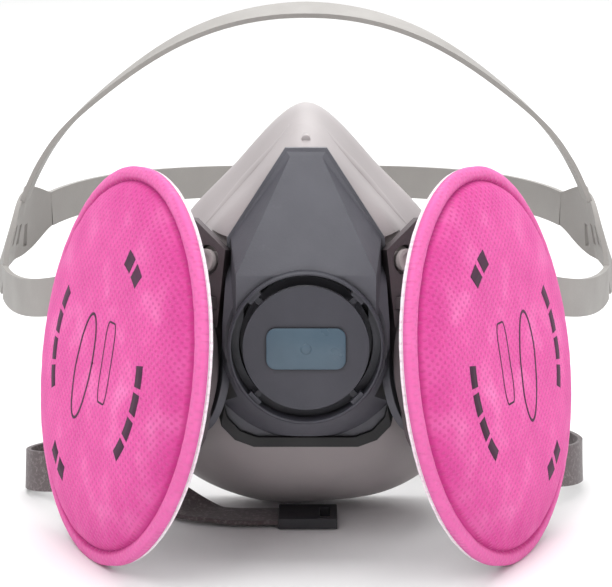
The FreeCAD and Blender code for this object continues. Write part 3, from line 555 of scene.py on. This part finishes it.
# The adapter, cover and yoke wings get painted shade in their corners and seams.
DARK = moulded("dark_plastic", (0.083, 0.083, 0.099), 0.5, corners=0.003)
COVER = moulded("cover_plastic", (0.040, 0.040, 0.052), 0.5, corners=0.002)
WING = moulded("wing_plastic", (0.075, 0.058, 0.064), 0.48, corners=0.005)
PEG = moulded("peg_plastic", (0.42, 0.37, 0.37), 0.45)
HARNESS = moulded("harness_plastic", (0.30, 0.285, 0.27), 0.55, grain=1800.0, mottle=0.05)
CLASP = moulded("clasp_plastic", (0.03, 0.03, 0.034), 0.42)
HUB = moulded("filter_plastic", (0.55, 0.53, 0.53), 0.45)
# Black rubber, darkened to near black so that the seal ring in the gap round the adapter also gives that gap's
# painted shade.
BLACK_SEAL_AND_GAP_SHADE = moulded("black_rubber", (0.008, 0.008, 0.009), 0.55, mottle=0.05)
FACE = elastomer("face_elastomer", (0.345, 0.312, 0.315))
SILICONE = elastomer("valve_silicone", (0.62, 0.58, 0.45))
ELASTIC = woven_elastic("neck_elastic", (0.20, 0.15, 0.155))
INK = moulded("print_ink", (0.060, 0.016, 0.045), 0.85, grain=2400.0, mottle=0.3)
BADGE = moulded("badge_plastic", (0.060, 0.100, 0.135), 0.34)
FELT = moulded("felt_white", (0.84, 0.74, 0.79), 0.9, grain=700.0, depth=0.0003, mottle=0.08)

FINISHES = {
    "filter_pink": PINK, "filter_white": FELT, "filter_plastic": HUB, "dark_plastic": DARK,
    "black_rubber": BLACK_SEAL_AND_GAP_SHADE, "wing_plastic": WING, "valve_silicone": SILICONE, "peg_plastic": PEG,
    "harness_plastic": HARNESS, "face_elastomer": FACE, "neck_elastic": ELASTIC,
    "clasp_plastic": CLASP,
}
EDGE_WIDTHS = {"center_adapter": 0.7, "exhalation_cover": 0.3, "yoke_wing_left": 0.5,
               "yoke_wing_right": 0.5, "facepiece": 0.9, "crown_strap": 0.35, "rear_strap": 0.35}


def finish_nodes():
    """Give every CAD node the material of its slot and soft edges."""
    slots = {part["node"]: part["material_slot"] for part in frame["record"]["subparts"]}
    for node, thing in frame["nodes"].items():
        thing.data.materials.clear()
        thing.data.materials.append(COVER if node == "exhalation_cover" else FINISHES[slots[node]])
        soften(node, EDGE_WIDTHS.get(node, 0.3))


def solid_disc(name, matrix, radius, low, high, material, body, rounding=0.3, count=40):
    """Low round button with a rounded rim, standing on a frame's XY plane, in mm."""
    profile = [(radius, low), (radius, high - rounding),
               (radius - 0.3 * rounding, high - 0.3 * rounding), (radius - rounding, high)]
    spots = []
    for reach, height in profile:
        for index in range(count):
            angle = math.tau * index / count
            spot = Vector((reach * math.cos(angle), reach * math.sin(angle), height))
            spots.append(matrix @ (spot * MM))
    return mesh_piece(name, spots, ring_faces(count, len(profile)), body, material)


def face_hit(tree, across, height):
    """Where a line from straight ahead first meets the facepiece, and its normal there."""
    spot, normal, _, _ = tree.ray_cast(Vector((across * MM, -0.2, height * MM)), Vector((0, 1, 0)))
    return spot, normal


def nose_details():
    """Soft rolls along both edges of the nose and the moulding pip above the adapter."""
    mesh = frame["nodes"]["facepiece"].data
    tree = BVHTree.FromPolygons([vertex.co for vertex in mesh.vertices],
                                [face.vertices for face in mesh.polygons])
    count = 40
    around = 24
    for name, sign in SIDES:
        middles = []
        for index in range(count):
            part = index / (count - 1)
            across = sign * (4.6 + 25.4 * part)
            spot, normal = face_hit(tree, across, 116.0 - 30.0 * part)
            if spot is not None:
                middles.append((spot, normal, part))
        spots = []
        for index, (spot, normal, part) in enumerate(middles):
            before = middles[max(0, index - 1)][0]
            after = middles[min(len(middles) - 1, index + 1)][0]
            along = (after - before).normalized()
            aside = along.cross(normal).normalized()
            up = aside.cross(along).normalized()
            swell = max(0.02, math.sin(math.pi * part))
            for step in range(around):
                angle = math.tau * step / around
                reach = aside * (3.0 * math.cos(angle)) + up * (0.62 * math.sin(angle) - 0.2)
                spots.append(spot + reach * swell * MM)
        faces = ring_faces(around, len(middles))
        mesh_piece(f"nose_roll_{name}", spots, faces, "mask", FACE)
    spot, normal = face_hit(tree, 0.0, 113.9)
    if spot is not None:
        matrix = Matrix.Rotation(math.pi / 2, 4, "X")
        matrix.translation = spot
        solid_disc("nose_pip", matrix, 1.2, -3.0, 0.7, FACE, "mask")


def badge():
    """Plain rounded panel and gate mark on the exhalation cover, without any lettering."""
    low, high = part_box("exhalation_cover")
    middle = (low + high) / 2
    matrix = Matrix.Rotation(math.pi / 2, 4, "X")
    matrix.translation = Vector((middle.x, low.y, middle.z))
    half = Vector((10.6, 5.6))
    corner = 2.6
    outline = []
    for quarter, (sign_x, sign_y) in enumerate(((1, 1), (-1, 1), (-1, -1), (1, -1))):
        for step in range(9):
            angle = quarter * math.pi / 2 + step / 8 * math.pi / 2
            outline.append((sign_x * (half.x - corner) + corner * math.cos(angle),
                            sign_y * (half.y - corner) + corner * math.sin(angle)))
    spots = []
    levels = ((1.0, -0.3), (1.0, 0.12), (0.985, 0.2))
    for scale, height in levels:
        for across, up in outline:
            spots.append(matrix @ (Vector((across * scale, up * scale, height)) * MM))
    faces = ring_faces(len(outline), len(levels))
    mesh_piece("cover_panel", spots, faces, "mask", BADGE)
    solid_disc("cover_gate_mark", matrix, 1.5, -0.3, 0.4, BADGE, "mask")


# ---------------------------------------------------------------- studio

def studio(target, elevation, distance, rise):
    """Pale floor, soft lights and a camera looking from straight ahead and a little above."""
    look = Vector((0.0, math.cos(elevation), -math.sin(elevation)))
    lift = Vector((0.0, math.sin(elevation), math.cos(elevation)))
    aim = target + lift * rise
    camera_data = bpy.data.cameras.new("camera")
    camera = bpy.data.objects.new("camera", camera_data)
    bpy.context.scene.collection.objects.link(camera)
    camera.location = aim - look * distance
    camera.rotation_euler = look.to_track_quat("-Z", "Y").to_euler()
    camera_data.lens = CAMERA_LENS
    camera_data.clip_start = 0.01
    camera_data.clip_end = 50.0
    bpy.context.scene.camera = camera

    bpy.ops.mesh.primitive_plane_add(size=8.0, location=(0.0, 0.0, 0.0))
    floor = bpy.context.object
    floor.name = "floor"
    paint = Paint("floor", (0.86, 0.86, 0.86), 0.8)
    floor.data.materials.append(paint.material)

    world = bpy.data.worlds.new("studio")
    bpy.context.scene.world = world
    world.use_nodes = True
    bpy.context.scene.view_settings.view_transform = "Standard"
    back = world.node_tree.nodes["Background"]
    back.inputs["Color"].default_value = (1.0, 1.0, 1.0, 1.0)
    back.inputs["Strength"].default_value = 0.5

    lights = (("key", (-0.6, -1.1, 1.3), 0.8, 13.0), ("fill", (0.9, -1.0, 1.0), 0.9, 8.0),
              ("top", (0.0, 0.3, 1.6), 1.4, 20.0), ("rear", (0.3, 1.6, 1.5), 1.6, 12.0),
              ("sweep", (0.0, 3.4, 1.3), 2.6, 22.0))
    for name, place, width, power in lights:
        data = bpy.data.lights.new(name, "AREA")
        data.size = width
        data.energy = power
        lamp = bpy.data.objects.new(name, data)
        bpy.context.scene.collection.objects.link(lamp)
        lamp.location = place
        aim_at = Vector((0.0, 0.0, 0.06)) - lamp.location
        lamp.rotation_euler = aim_at.to_track_quat("-Z", "Y").to_euler()


finish_nodes()
for side_name, _ in SIDES:
    make_filter(side_name)
nose_details()
badge()
left_low, left_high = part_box("filter_rim_left")
right_low, right_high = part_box("filter_rim_right")
filter_middle = (left_low + left_high + right_low + right_high) / 4
studio(filter_middle, CAMERA_ELEVATION, CAMERA_DISTANCE, CAMERA_RISE)
